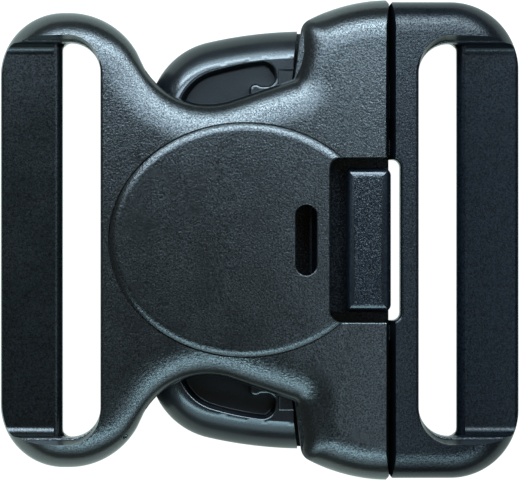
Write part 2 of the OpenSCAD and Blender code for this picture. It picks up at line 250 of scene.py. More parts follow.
class Wall:
    """A solid raised ring by ring from a closed plan outline that runs clockwise."""

    def __init__(self, bm: BMesh, ring: Sequence[BMVert], rims: Sequence[Rim],
                 fixed: dict[int, Vector] | None = None) -> None:
        """Takes over a closed outline.

        Args:
            bm: The bmesh that holds it.
            ring: Its vertices in order.
            rims: The rim at each of them.
            fixed: Ways inwards that don't follow from the outline, by the vertex's number.
        """
        self.bm = bm
        self.ring = list(ring)
        self.rims = list(rims)
        self.plan = [v.co.copy() for v in ring]
        self.inward = [self._inward(i) for i in range(len(ring))]
        for i, way in (fixed or {}).items():
            self.inward[i] = way
        self.reach = [way * rim.width for way, rim in zip(self.inward, self.rims, strict=True)]

    def _inward(self, i: int) -> Vector:
        """Unit vector into the material at vertex i, right of the way the outline runs.

        Args:
            i: The vertex's number.

        Returns:
            The vector.
        """
        here, count = self.plan[i], len(self.plan)
        after = (self.plan[(i + 1) % count] - here).normalized()
        before = (here - self.plan[i - 1]).normalized()
        way = (after + before).normalized()
        return Vector((way.y, -way.x, 0.0))

    def soften(self, first: int, last: int) -> "Wall":
        """Lays the rim's inner line round a tight corner on a wide curve, on both halves.

        Args:
            first: Vertex where the curve starts.
            last: Vertex where it ends.

        Returns:
            The wall itself.
        """
        start, end = (self.plan[i] + self.reach[i] for i in (first, last))
        ways = [Vector((-self.inward[i].y, self.inward[i].x, 0.0)) for i in (first, last)]
        meet = geometry.intersect_line_line(start, start + ways[0], end, end + ways[1])[0]
        steps = [(self.plan[i + 1] - self.plan[i]).length for i in range(first, last)]
        bends = [self.inward[i].angle(self.inward[i + 1]) for i in range(first, last)]
        for i in range(first, last + 1):
            t = (sum(steps[:i - first]) / sum(steps) + sum(bends[:i - first]) / sum(bends)) / 2
            spot = start * (1 - t) ** 2 + meet * 2 * t * (1 - t) + end * t * t
            self.reach[i] = spot - self.plan[i]
            self.reach[-1 - i] = Vector((self.reach[i].x, -self.reach[i].y, 0.0))
        return self

    def _edges(self) -> list[bmesh.types.BMEdge]:
        """The edges of the last ring, in order."""
        pairs = zip(self.ring, self.ring[1:] + self.ring[:1], strict=True)
        return [self.bm.edges.get(pair) for pair in pairs]

    def place(self, spot: Spot) -> "Wall":
        """Moves the last ring: vertex i goes to spot(i).

        Args:
            spot: The place of each vertex.

        Returns:
            The wall itself.
        """
        for i, v in enumerate(self.ring):
            v.co = spot(i)
        return self

    def raise_to(self, spot: Spot) -> "Wall":
        """Extrudes the last ring and moves the new one: vertex i goes to spot(i).

        Args:
            spot: The place of each vertex.

        Returns:
            The wall itself.
        """
        geom = bmesh.ops.extrude_edge_only(self.bm, edges=self._edges())["geom"]
        made = {v for v in geom if isinstance(v, BMVert)}
        self.ring = [next(e.other_vert(v) for e in v.link_edges if e.other_vert(v) in made)
                     for v in self.ring]
        return self.place(spot)

    def cap(self) -> list[bmesh.types.BMFace]:
        """Fills the last ring with a face."""
        return bmesh.ops.contextual_create(self.bm, geom=self._edges())["faces"]

    def point(self, i: int, inset: float, z: float, base: Height | None = None) -> Vector:
        """Place some way inside vertex i of the outline, at height z, or z over base(x).

        Args:
            i: The vertex's number.
            inset: How far inside it the place lies.
            z: Height of the place.
            base: Height that z is counted from, at x; the floor if it is None.

        Returns:
            The place.
        """
        p = self.plan[i] + self.inward[i] * inset
        p.z = z + base(p.x) if base else z
        return p

    def flat(self, inset: float, z: float, base: Height | None = None) -> Spot:
        """Places for a ring some way inside the outline, at height z, or z over base(x)."""
        return lambda i: self.point(i, inset, z, base)

    def build(self, spots: Sequence[Spot]) -> list[bmesh.types.BMFace]:
        """Puts a ring at each set of places in turn, and closes the first and the last one.

        Args:
            spots: The places of each ring.

        Returns:
            The faces that close the last ring.
        """
        self.place(spots[0]).cap()
        for spot in spots[1:]:
            self.raise_to(spot)
        return self.cap()

    def prism(self, z0: float, z1: float) -> "Wall":
        """Raises a straight wall from one height to another, closed at both ends."""
        self.build([self.flat(0, z0), self.flat(0, z1)])
        return self


def drawn(*points: Plan) -> Pen:
    """Draws straight lines from point to point.

    Args:
        points: The points in order.

    Returns:
        The pen.
    """
    pen = Pen(points[0])
    for point in points[1:]:
        pen.line(point)
    return pen


def polar(centre: Plan, r: float, angle: float) -> Vector:
    """Point of the plan at a distance from a centre and an angle in degrees."""
    a = math.radians(angle)
    return Vector(centre) + r * Vector((math.cos(a), math.sin(a)))


def quarter(steps: int) -> list[float]:
    """Angles from 0 to a quarter turn, in radians."""
    return [math.pi / 2 * i / steps for i in range(steps + 1)]


@dataclass(frozen=True)
class Crown:
    """Front surface: a long cylinder across the belt's way, highest at the middle."""

    top: float = 13.4
    radius: float = 170.0

    @property
    def over(self) -> float:
        """A height that is clear of the front."""
        return self.top + CLEAR

    def at(self, x: float) -> float:
        """Height of the front over the back at x."""
        return self.top + math.sqrt(self.radius**2 - x * x) - self.radius


CROWN = Crown()


def strips(bm: BMesh, faces: Iterable[bmesh.types.BMFace], height: Height) -> None:
    """Cuts top faces into strips across X and lays their vertices on the crown.

    Args:
        bm: The bmesh that holds them.
        faces: The faces.
        height: Height of the front at x.
    """
    found = list(faces)
    xs = [v.co.x for f in found for v in f.verts]
    at = math.floor(min(xs) / STRIP_W) * STRIP_W + STRIP_W
    while at < max(xs) - SLIVER:
        geom = list(dict.fromkeys(g for f in found for g in (*f.verts, *f.edges))) + found
        cut = bmesh.ops.bisect_plane(bm, geom=geom, plane_co=(at, 0, 0), plane_no=(1, 0, 0),
                                     dist=NEAR)["geom"]
        found = [g for g in cut if isinstance(g, bmesh.types.BMFace)]
        at += STRIP_W
    for v in {v for f in found for v in f.verts}:
        v.co.z = height(v.co.x)


def finished(name: str, bm: BMesh) -> Piece:
    """Makes an object of a bmesh, with its normals outwards.

    Args:
        name: The object's name.
        bm: The bmesh, which is freed.

    Returns:
        The linked object, still in millimetres.
    """
    bmesh.ops.remove_doubles(bm, verts=bm.verts, dist=MERGE)
    bmesh.ops.recalc_face_normals(bm, faces=bm.faces)
    mesh = bpy.data.meshes.new(name)
    bm.to_mesh(mesh)
    bm.free()
    made = bpy.data.objects.new(name, mesh)
    bpy.context.scene.collection.objects.link(made)
    return made


def sided(name: str, wall: Wall, side: Side) -> Piece:
    """Finishes a solid that was drawn on the upper side, on the side where it belongs."""
    bmesh.ops.scale(wall.bm, verts=wall.bm.verts, vec=(1.0, side.value, 1.0))
    return finished(f"{side.word}_{name}", wall.bm)


@contextmanager
def opened(mesh: bpy.types.Mesh) -> Iterator[BMesh]:
    """Opens a mesh as a bmesh and writes it back.

    Args:
        mesh: The mesh.

    Yields:
        The bmesh, which is written back at the end.
    """
    bm = bmesh.new()
    bm.from_mesh(mesh)
    yield bm
    bm.to_mesh(mesh)
    bm.free()


def flipped(obj: Piece, axis: Axis) -> None:
    """Mirrors an object's mesh along an axis, with its faces still outwards.

    Args:
        obj: The object.
        axis: The axis.
    """
    vec = [-1.0 if i == axis.value else 1.0 for i in range(3)]
    with opened(obj.data) as bm:
        bmesh.ops.scale(bm, verts=bm.verts, vec=vec)
        bmesh.ops.reverse_faces(bm, faces=bm.faces)


def applied(obj: Piece) -> bpy.types.Mesh:
    """Makes a mesh of an object with its modifiers, and takes them off.

    Args:
        obj: The object.

    Returns:
        The mesh.
    """
    graph = bpy.context.evaluated_depsgraph_get()
    mesh = bpy.data.meshes.new_from_object(obj.evaluated_get(graph))
    obj.modifiers.clear()
    return mesh


class Cut(Enum):
    """What a tool solid does to a body."""

    AWAY = "DIFFERENCE"
    ON = "UNION"


def worked(body: Piece, tools: Sequence[Piece], cut: Cut) -> None:
    """Cuts tool solids out of a body or joins them to it, and removes the tools.

    Args:
        body: The object whose mesh is changed.
        tools: The solids, in order.
        cut: Whether they are taken away or put on.
    """
    for tool in tools:
        step = body.modifiers.new(tool.name, "BOOLEAN")
        step.object, step.operation, step.solver = tool, cut.value, "MANIFOLD"
        old, body.data = body.data, applied(body)
        with opened(body.data) as bm:
            bmesh.ops.remove_doubles(bm, verts=bm.verts, dist=MERGE)
            bmesh.ops.dissolve_degenerate(bm, edges=bm.edges, dist=MERGE)
        bpy.data.meshes.remove(old)
        bpy.data.objects.remove(tool)


def block(name: str, x: Plan, y: Plan, z: Plan, edge: float = 0.0) -> Piece:
    """Makes a box.

    Args:
        name: The object's name.
        x: Its reach along X.
        y: Its reach along Y.
        z: Its reach along Z.
        edge: Radius of its edges.

    Returns:
        The object.
    """
    bm = bmesh.new()
    bmesh.ops.create_cube(bm, size=1.0)
    bmesh.ops.scale(bm, verts=bm.verts, vec=(x[1] - x[0], y[1] - y[0], z[1] - z[0]))
    bmesh.ops.translate(bm, verts=bm.verts, vec=(sum(x) / 2, sum(y) / 2, sum(z) / 2))
    if edge:
        bmesh.ops.bevel(bm, geom=list(bm.edges), offset=edge, segments=2, profile=0.5,
                        affect="EDGES", material=-1)
    return finished(name, bm)


def rod(name: str, centre: Vector, radius: float, length: float, axis: Axis) -> Piece:
    """Makes a round rod.

    Args:
        name: The object's name.
        centre: Its middle.
        radius: Its radius.
        length: Its length.
        axis: The way it runs, Y or Z.

    Returns:
        The object.
    """
    bm = bmesh.new()
    bmesh.ops.create_cone(bm, cap_ends=True, segments=64, radius1=radius, radius2=radius,
                          depth=length)
    if axis is Axis.Y:
        bmesh.ops.rotate(bm, verts=bm.verts, matrix=LAID)
    bmesh.ops.translate(bm, verts=bm.verts, vec=centre)
    return finished(name, bm)


def slot_pen(x: Plan, half_y: float, left: float, right: float) -> Pen:
    """Draws the upper half of an oblong with its own corner radius at each end.

    Args:
        x: Its left and right side.
        half_y: Its reach to each side of the middle line.
        left: Radius of its left corners.
        right: Radius of its right corners.

    Returns:
        The pen.
    """
    pen = Pen((x[0], half_y - left)).arc((x[0] + left, half_y - left), -90, 10)
    if x[1] - x[0] > left + right + NEAR:
        pen.line((x[1] - right, half_y))
    return pen.arc((x[1] - right, half_y - right), -90, 14)


def opening(name: str, pen: Pen, z0: float, top: Height, lip: float,
            draft: float = 0.0) -> Piece:
    """Makes the solid that cuts an opening whose top edge is rounded.

    Args:
        name: The object's name.
        pen: Its outline's upper half.
        z0: Its lower end.
        top: Height of the front at x.
        lip: Radius of the rounded edge.
        draft: How far the wall leans out on its way up.

    Returns:
        The object.
    """
    wall = pen.mirrored()
    edge = [wall.flat(-draft - lip * (1 - math.cos(a)), -lip * (1 - math.sin(a)), top)
            for a in quarter(5)]
    wall.build([wall.flat(0, z0), *edge, wall.flat(-draft - lip - HAIR, CROWN.over + CLEAR)])
    return finished(name, wall.bm)


@dataclass(frozen=True)
class StrapEnd:
    """Bar and slot that the webbing runs round, at the left end of a frame."""

    half_l: float = 34.1
    bar_w: float = 8.2
    bar_top: float = 6.6
    bar_back: float = 1.2
    bar_round: float = 1.2
    back_round: float = 1.8
    outer_round: float = 0.5
    slot_w: float = 4.9
    slot_y: float = 25.95
    bar_corner: float = 1.1
    frame_corner: float = 3.9
    draft: float = 0.1
    lip: float = 0.4
    fillet: float = 1.6
    fillet_turns: tuple[int, ...] = (0, 12, 24, 36, 48, 60, 74)
    ledge: tuple[Plan, ...] = ((2.3, 0.08), (2.42, 0.14), (2.48, 0.36), (3.6, 0.9), (5.0, 1.1),
                               (8.0, 1.2))
    front_gap: float = 0.06
    back_gap: Plan = (0.2, 0.6)  # past the bar's side, past the slot's end
    edge_gap: float = 0.12
    edge_over: Plan = (0.15, 2.4)  # past the bar's side, past its face

    @property
    def bar_x(self) -> float:
        """The bar's side at the slot."""
        return self.bar_w - self.half_l

    def slot(self) -> Piece:
        """The solid that cuts the slot."""
        pen = slot_pen((self.bar_x, self.bar_x + self.slot_w), self.slot_y,
                       self.bar_corner, self.frame_corner)
        return opening("slot_tool", pen, -CLEAR, CROWN.at, self.lip, self.draft)

    def front_recess(self) -> Piece:
        """The solid that lowers the front over the bar, with a ledge round its ends.

        Returns:
            The object.
        """
        turns = [math.radians(a) for a in self.fillet_turns]
        fillet = [(self.fillet * (1 - math.cos(a)), self.fillet * (math.sin(a) - 1))
                  for a in turns]
        corner = self.frame_corner
        corner_x = self.bar_x + self.slot_w - self.front_gap - corner
        pen = Pen((-self.half_l - CLEAR, self.slot_y), Rim(1.0)).fix_inward((0, -1))
        pen.line((corner_x, self.slot_y)).arc((corner_x, self.slot_y - corner), -90, 14, SHARP)
        wall = pen.mirrored()

        def level(up: float, out: float) -> Spot:
            """Places for the ring at one level, further out the more its rim says."""
            return lambda i: wall.plan[i] - wall.reach[i] * out + Vector((0, 0, self.bar_top + up))

        wall.build([level(*at) for at in (*fillet, *self.ledge)])
        return finished("front_recess_tool", wall.bm)

    def back_recess(self) -> Piece:
        """The solid that lowers the back under the bar."""
        y = self.slot_y + self.back_gap[1]
        return block("back_recess_tool", (-self.half_l - CLEAR, self.bar_x + self.back_gap[0]),
                     (-y, y), (-CLEAR, self.bar_back))

    def edge(self, x: float, r: float, up: bool, out: float = 1.0) -> Piece:
        """Makes the solid that rounds a long edge of the bar.

        Args:
            x: The bar's side.
            r: Radius of the edge.
            up: Whether the edge is on the front.
            out: 1 for the side at the slot, -1 for the outer side.

        Returns:
            The object.
        """
        z, way = (self.bar_top, 1.0) if up else (self.bar_back, -1.0)
        near, far = x - out * r, x + out * self.edge_over[0]
        beyond, low = z + way * self.edge_over[1], z - way * r
        pen = drawn((near, beyond), (near, z)).arc((near, low), -90 * way * out, 12)
        half = self.slot_y - self.edge_gap
        wall = pen.line((far, low)).line((far, beyond)).closed().prism(-half, half)
        bmesh.ops.rotate(wall.bm, verts=wall.bm.verts, matrix=LAID)
        return finished("bar_edge_tool", wall.bm)

    def tools(self) -> list[Piece]:
        """All solids that cut the strap end."""
        return [self.slot(), self.front_recess(), self.back_recess(),
                self.edge(self.bar_x, self.bar_round, up=True),
                self.edge(self.bar_x, self.back_round, up=False),
                self.edge(-self.half_l, self.outer_round, up=True, out=-1.0)]


def feed(tree: bpy.types.NodeTree, node: bpy.types.Node, inputs: dict[str | int, Value]) -> None:
    """Gives a node's inputs their values, or links them to other nodes' outputs.

    Args:
        tree: The node tree.
        node: The node.
        inputs: The values or outputs, by the input's name or number.
    """
    for name, value in inputs.items():
        if isinstance(value, bpy.types.NodeSocket):
            tree.links.new(value, node.inputs[name])
        else:
            node.inputs[name].default_value = value


def wired(tree: bpy.types.NodeTree, kind: str, output: str, inputs: dict[str | int, Value],
          **settings: str) -> bpy.types.NodeSocket:
    """Adds a shader node.

    Args:
        tree: The node tree.
        kind: What sort of node it is.
        output: The output that is wanted.
        inputs: Values of its inputs, or the outputs they are linked to.
        settings: Its other settings.

    Returns:
        That output.
    """
    node = tree.nodes.new(f"ShaderNode{kind}")
    for name, value in settings.items():
        setattr(node, name, value)
    feed(tree, node, inputs)
    return node.outputs[output]


@dataclass(frozen=True)
class Moulded:
    """A moulded plastic: its colour, its gloss, and the grain of the mould's surface."""

    name: str
    colour: tuple[float, float, float]
    roughness: float
    grain: float
    grain_depth: float
    specular: float = 0.7
    mottle: Plan = (0.4, 2.0)  # shares of the colour at its darkest and lightest
    mottle_span: Plan = (0.35, 0.65)
    grain_span: Plan = (0.3, 0.7)
    uneven: Plan = (-0.03, 0.04)  # added to the roughness
    uneven_size: float = 6.0  # in millimetres
    fleck_size: float = 0.7  # as a share of the grain
    sparkle: tuple[Plan, Plan] = ((0.32, 0.68), (0.3, 1.7))  # noise, and gloss it gives
    steep: Plan = (0.74, 0.9)  # how upright a face begins to show grain, and shows it whole
    steep_share: float = 0.2
    smooth_below: float = 7.6  # height in millimetres
    smooth_share: float = 0.3
    # Share of the gloss kept on the parts under smooth_below. Below 1 it is painted shade that
    # darkens the sunken bars, plates and pocket floors.
    painted_shade_gloss: float = 0.4
    low_roughness: float = 1.0
    coat: float = 0.4
    coat_roughness: float = 0.15

    def material(self) -> bpy.types.Material:
        """Builds the material: mottled colour, uneven gloss with painted shade on the low parts,
        and grain in the surface.

        Returns:
            The material.
        """
        made = bpy.data.materials.new(self.name)
        made.use_nodes = True
        tree = made.node_tree
        where = tree.nodes.new("ShaderNodeTexCoord").outputs

        def noise(size: float, detail: float, rough: float) -> bpy.types.NodeSocket:
            """Noise whose blots are some millimetres across."""
            return wired(tree, "TexNoise", "Fac", {
                "Scale": 1 / (size * MM), "Detail": detail, "Roughness": rough,
                "Vector": where["Object"]})

        def ranged(value: Value, source: Plan, to: Plan = (0.0, 1.0)) -> bpy.types.NodeSocket:
            """A value stretched from one range to another and held inside it."""
            return wired(tree, "MapRange", "Result", {
                "From Min": source[0], "From Max": source[1], "To Min": to[0], "To Max": to[1],
                "Value": value})

        def product(a: Value, b: Value) -> bpy.types.NodeSocket:
            """Two values multiplied."""
            return wired(tree, "Math", "Value", {0: a, 1: b}, operation="MULTIPLY")

        def upright(name: str) -> bpy.types.NodeSocket:
            """The Z part of the place or of the surface's normal."""
            return wired(tree, "SeparateXYZ", "Z", {"Vector": where[name]})

        def above(low: float) -> bpy.types.NodeSocket:
            """A factor that is low on the lower parts of the piece, and 1 on the front."""
            level = (self.smooth_below * MM, (self.smooth_below + 1) * MM)
            return ranged(height, level, (low, 1.0))

        grain, height = noise(self.grain, 3.0, 0.6), upright("Object")
        facing = ranged(upright("Normal"), self.steep, (self.steep_share, 1.0))
        dark, light = ((*(c * share for c in self.colour), 1) for share in self.mottle)
        colour = wired(tree, "Mix", "Result", {
            "A": dark, "B": light, "Factor": ranged(grain, self.mottle_span)}, data_type="RGBA")
        found, gloss = self.sparkle
        fleck = ranged(noise(self.grain * self.fleck_size, 1.0, 0.5), found,
                       tuple(self.specular * g for g in gloss))
        shine = wired(tree, "Mix", "Result", {
            "A": self.specular * sum(gloss) / 2, "B": fleck, "Factor": facing})
        rough = ranged(noise(self.uneven_size, 3.0, 0.55), self.grain_span,
                       tuple(self.roughness + more for more in self.uneven))
        bump = wired(tree, "Bump", "Normal", {
            "Strength": 1.0, "Distance": self.grain_depth * MM,
            "Height": product(product(ranged(grain, self.grain_span), facing),
                              above(self.smooth_share))})
        # The gloss drops on the low parts as painted shade, darkening the recesses as if they lay
        # in shadow.
        feed(tree, tree.nodes["Principled BSDF"], {
            "Base Color": colour, "Roughness": product(rough, above(self.low_roughness)),
            "Specular IOR Level": product(shine, above(self.painted_shade_gloss)),
            "Normal": bump, "Coat Normal": bump,
            "Coat Weight": self.coat, "Coat Roughness": self.coat_roughness})
        return made


class Body(Enum):
    """The CAD bodies that pieces ride on."""

    BUCKLE = "buckle"
    UPPER = "upper_side"
    LOWER = "lower_side"
    TAB = "tab"


@dataclass(frozen=True)
class Place:
    """Where a piece belongs: the CAD body it rides on, the node it stands for and its slot."""

    body: Body
    node: str
    slot: str


def put_in(obj: Piece, place: Place, finish: Moulded) -> None:
    """Shades a finished piece, dresses it and sets it on its body.

    Args:
        obj: The piece.
        place: Where it belongs.
        finish: Its plastic.
    """
    obj.data.transform(Matrix.Scale(MM, 4))
    obj.data.shade_smooth()
    obj.data.set_sharp_from_angle(angle=math.radians(SHARP_FROM))
    even = obj.modifiers.new("even_shading", "WEIGHTED_NORMAL")
    even.keep_sharp = True
    obj.data = applied(obj)
    obj.data.materials.clear()
    obj.data.materials.append(finish.material())
    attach(obj, place.body.value)
    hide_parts(place.node)
    log.info("%s: %d faces, rides on %s", obj.name, len(obj.data.polygons), place.body.value)


@dataclass(frozen=True)
class Shoulder:
    """Face of the socket's block that the levers lock on: a point of it, and its lean."""

    x: float = 5.4
    y: float = 27.3
    lean: float = 7.8

    @property
    def slope(self) -> float:
        """How far the face goes along X for each millimetre across the belt."""
        return math.tan(math.radians(self.lean))

    @property
    def up(self) -> Vector:
        """Unit vector along the face, away from the middle line."""
        return polar((0.0, 0.0), 1.0, 90 - self.lean)

    def at(self, y: float) -> float:
        """Where the face crosses y."""
        return self.x + (y - self.y) * self.slope


SHOULDER = Shoulder()
LEVER_ROOT = (16.5, 18.5)


@dataclass(frozen=True)
class Seam:
    """Groove between the two frames: foot and lean of each side, and the nick at its ends."""

    socket_x: float = 17.0
    socket_lean: Plan = (10.3, 0.5)  # height where it begins, and reach at the top
    plug_x: float = 17.01
    plug_lean: Plan = (8.4, 1.08)
    nick: Plan = (0.42, 0.5)
    nick_shape: tuple[Plan, ...] = ((-1.6, 0.6), (0.6, 0.6), (0.6, -1.6))

    def nicks(self, x: float, y: float, way: int) -> list[Piece]:
        """Makes the solids that take a frame's corners off at both ends of the groove.

        Args:
            x: Place of the frame's end face.
            y: The frame's reach to each side of the middle line.
            way: 1 if that face looks to +X, -1 if it looks to -X.

        Returns:
            The objects.
        """
        along, across = way * self.nick[0], self.nick[1]
        corners = [(x + along * a, y + across * b) for a, b in self.nick_shape]
        return [sided("nick_tool", drawn(*corners).closed().prism(-CLEAR, CROWN.over), side)
                for side in Side]


SEAM = Seam()


def crowned(name: str, wall: Wall, end_x: float, lean: Plan, back_r: float = 1.4) -> Piece:
    """Raises a frame's shell: rounded back edge, wall, rounded front rim and crown.

    Args:
        name: The object's name.
        wall: The wall on the frame's outline.
        end_x: Place of the end face at the seam.
        lean: Height where the end face starts to lean back, and how far it gets at the top.
        back_r: Rounding of the back's outer edge.

    Returns:
        The closed shell.
    """
    foot, far = lean

    def rim_spot(share: float) -> Spot:
        """Places on the front rim, some share of the way along it, with the end face leant.

        Args:
            share: How far along the rim the ring lies.

        Returns:
            The places.
        """

        def spot(i: int) -> Vector:
            """Place of vertex i.

            Args:
                i: The vertex's number.

            Returns:
                Its place.
            """
            passed, left = wall.rims[i].at(share)
            p = wall.plan[i] + wall.reach[i] * passed
            p.z = CROWN.at(p.x) - left
            if abs(wall.plan[i].x - end_x) < NEAR and p.z > foot:
                p.x -= far * (p.z - foot) / (CROWN.top - foot)
            return p

        return spot

    back = [wall.flat(back_r * (1 - math.sin(a)), back_r * (1 - math.cos(a)))
            for a in quarter(4)]
    rim = [rim_spot(step / RIM_STEPS) for step in range(RIM_STEPS + 1)]
    top = wall.build([*back, *rim])
    strips(wall.bm, top, CROWN.at)
    return finished(name, wall.bm)


@dataclass(frozen=True)
class Pad:
    """Raised oval on the socket's front, with a rounded edge inside a fine groove."""

    x: float = -1.9
    half_l: float = 17.8
    half_w: float = 15.3
    rise: float = 0.3
    edge: Rim = Rim(1.1, 0.37, 55.0)
    edge_steps: int = 7
    root: float = 1.2
    groove_w: float = 0.2
    groove_depth: float = 0.7
    window_ramp: Plan = (10.8, 1.5)  # where it ends, and its length

    def _oval(self, more: float) -> Wall:
        """A wall on the oval, grown by some distance, running clockwise.

        Args:
            more: The distance.

        Returns:
            The wall.
        """
        bm = bmesh.new()
        made = bmesh.ops.create_circle(bm, cap_ends=False, segments=180, radius=1.0)["verts"]
        bmesh.ops.scale(bm, verts=made, vec=(self.half_l + more, self.half_w + more, 1.0))
        bmesh.ops.translate(bm, verts=made, vec=(self.x, 0, 0))
        ring = [made[0]]
        while len(ring) < len(made):
            near = [e.other_vert(ring[-1]) for e in ring[-1].link_edges]
            ring.append(next(v for v in near if v not in ring[-2:]))
        first, second = (v.co.xy - Vector((self.x, 0)) for v in ring[:2])
        if first.cross(second) > 0:
            ring.reverse()
        return Wall(bm, ring, [self.edge] * len(ring))

    def surface(self, x: float) -> float:
        """Height of the pad's face at x."""
        return CROWN.at(x) + self.rise

    def front(self, x: float) -> float:
        """Height of the front at x, above and below the tab's window."""
        end, length = self.window_ramp
        return CROWN.at(x) + self.rise * min(max((end - x) / length, 0.0), 1.0)

    def bed(self) -> Piece:
        """The solid that sinks the pad's bed, a groove's width wider than the pad.

        Returns:
            The object.
        """
        wall = self._oval(self.groove_w)
        floor = wall.cap()
        wall.raise_to(wall.flat(0, CROWN.over)).cap()
        strips(wall.bm, floor, lambda x: CROWN.at(x) - self.groove_depth)
        return finished("pad_bed_tool", wall.bm)

    def solid(self) -> Piece:
        """The pad itself, down into the shell.

        Returns:
            The object.
        """
        wall = self._oval(0.0)
        rounds = [self.edge.at(step / self.edge_steps) for step in range(self.edge_steps + 1)]
        edge = [wall.flat(self.edge.width * passed, -left, self.surface)
                for passed, left in rounds]
        strips(wall.bm, wall.build([wall.flat(0, -self.root, CROWN.at), *edge]), self.surface)
        return finished("pad_tool", wall.bm)


@dataclass(frozen=True)
class Socket:
    """The left frame: strap end, waist with the lever windows, block, pad and openings."""

    finish: Moulded
    half_l: float = 34.1
    ear_y: float = 29.9
    ear_r: float = 8.3
    ear_rim: Rim = Rim(4.2, 4.8)
    full_rim: Rim = Rim(5.0, 4.8)
    hip_x: float = -25.1
    hip_r: float = 10.3
    hip_turn: float = 60.0
    hip_rim: Rim = Rim(5.6, 3.9)
    waist: Plan = (-6.8, 17.9)
    waist_r: float = 9.77
    waist_rim: Rim = Rim(5.8, 3.05)
    flank_turn: float = 18.3
    foot_r: float = 0.5
    foot_rim: Rim = Rim(6.0, 3.05, 14.0)
    shoulder_y: float = 23.5
    shoulder_rim: Rim = Rim(5.4, 3.0, 32.5)
    corner_r: float = 1.9
    block_y: float = 31.55
    block_r: float = 22.5
    block_blend: float = 108.0
    room_z: Plan = (2.5, 10.3)  # floor and ceiling
    room_x0: float = -15.05
    room_y: float = 34.705
    wall_y: float = 25.6
    core: tuple[Plan, Plan] = ((6.1, 13.0), (-16.05, 5.1))  # two points of its side
    window_x: float = 9.3
    window_y: float = 10.8
    window_r: float = 1.5
    window_lip: float = 0.25
    peep: tuple[float, float, float] = (6.13, 1.37, 4.62)  # x, half width, half length
    peep_z: float = 4.8
    peep_lip: float = 0.2
    scoop_y: Plan = (21.1, 27.9)
    scoop_deep: float = 0.78
    scoop_out: float = 0.5
    scoop_floor: Plan = (10.42, 0.4)  # height at the shoulder, slope
    sill_y: Plan = (20.4, 27.2)
    sill_w: float = 1.1
    sill_z: float = 1.5
    mark: tuple[float, float, float] = (-17.6, -25.9, 10.15)
    mark_r: float = 0.42
    tongue: tuple[float, float, float] = (-1.0, 5.4, 4.8)  # end, half width, top
    tongue_seat: tuple[float, float, float] = (3.4, 1.5, 10.79)  # height, radius, length
    pad: Pad = field(default_factory=Pad)
    strap_end: StrapEnd = field(default_factory=StrapEnd)

    def _corner(self) -> tuple[Vector, float]:
        """Centre of the shoulder's outer corner, and the angle where it meets the long side.

        Returns:
            The centre, and the angle in degrees.
        """
        up = SHOULDER.up
        block_c = Vector((SEAM.socket_x, self.block_y - self.block_r))
        start = Vector((SHOULDER.x, SHOULDER.y)) + self.corner_r * Vector((up.y, -up.x)) - block_c
        along = start.dot(up)
        reach = (self.block_r - self.corner_r) ** 2 + along**2 - start.length_squared
        centre = block_c + start + (math.sqrt(reach) - along) * up
        way = centre - block_c
        return centre, math.degrees(math.atan2(way.y, way.x))

    def outline(self) -> Wall:
        """Draws the outline: ear, hip, waist, foot, shoulder and block, up to the mouth.

        Returns:
            The wall.
        """
        hip_c = (self.hip_x, self.ear_y - self.hip_r)
        waist_c = (self.waist[0], self.waist[1] + self.waist_r)
        waist_end = polar(waist_c, self.waist_r, self.flank_turn - 90)
        along = polar((0.0, 0.0), 1.0, self.flank_turn)
        shift = SHOULDER.at(waist_end.y) - waist_end.x
        to_foot = shift / (along.x - along.y * SHOULDER.slope)
        foot_turn = 90 - self.flank_turn - SHOULDER.lean
        foot = waist_end + along * (to_foot - self.foot_r * math.tan(math.radians(foot_turn / 2)))
        corner, shoulder_a = self._corner()
        start_y = corner.y + self.corner_r * SHOULDER.up.x
        block_c = (SEAM.socket_x, self.block_y - self.block_r)
        pen = Pen((-self.half_l, self.ear_y - self.ear_r), self.ear_rim)
        pen.arc((self.ear_r - self.half_l, self.ear_y - self.ear_r), -90, 24)
        pen.line((self.hip_x, self.ear_y))
        pen.arc(hip_c, -self.hip_turn / 2, 12, self.full_rim)
        pen.arc(hip_c, -self.hip_turn / 2, 12, self.hip_rim)
        pen.line(polar(waist_c, self.waist_r, -90 - self.hip_turn), self.waist_rim, steps=4)
        pen.arc(waist_c, self.hip_turn + self.flank_turn, 26).line(foot, steps=8)
        pen.arc(foot + self.foot_r * Vector((-along.y, along.x)), foot_turn, 8, self.foot_rim)
        pen.line((SHOULDER.at(self.shoulder_y), self.shoulder_y), self.shoulder_rim, steps=3)
        first = len(pen.chain) - 1
        pen.line((SHOULDER.at(start_y), start_y), steps=10)
        pen.arc(corner, shoulder_a - 180 + SHOULDER.lean, 6)
        pen.arc(block_c, self.block_blend - shoulder_a, 10, self.full_rim)
        last = len(pen.chain) - 1
        pen.arc(block_c, 90 - self.block_blend, 16).fix_inward((0, -1))
        return pen.mirrored().soften(first, last)

    def room(self) -> Piece:
        """The solid that hollows the socket, open at the mouth and at both waist windows.

        Returns:
            The object.
        """
        far_y, near_y = self.room_y, self.wall_y
        (core_x, core_y), (tip_x, tip_y) = self.core
        slope = (core_y - tip_y) / (core_x - tip_x)
        pen = drawn((core_x, core_y), (self.room_x0, tip_y + (self.room_x0 - tip_x) * slope),
                    (self.room_x0, far_y), (SHOULDER.at(far_y), far_y),
                    (SHOULDER.at(near_y), near_y), (SEAM.socket_x + CLEAR, near_y))
        return finished("room_tool", pen.mirrored().prism(*self.room_z).bm)

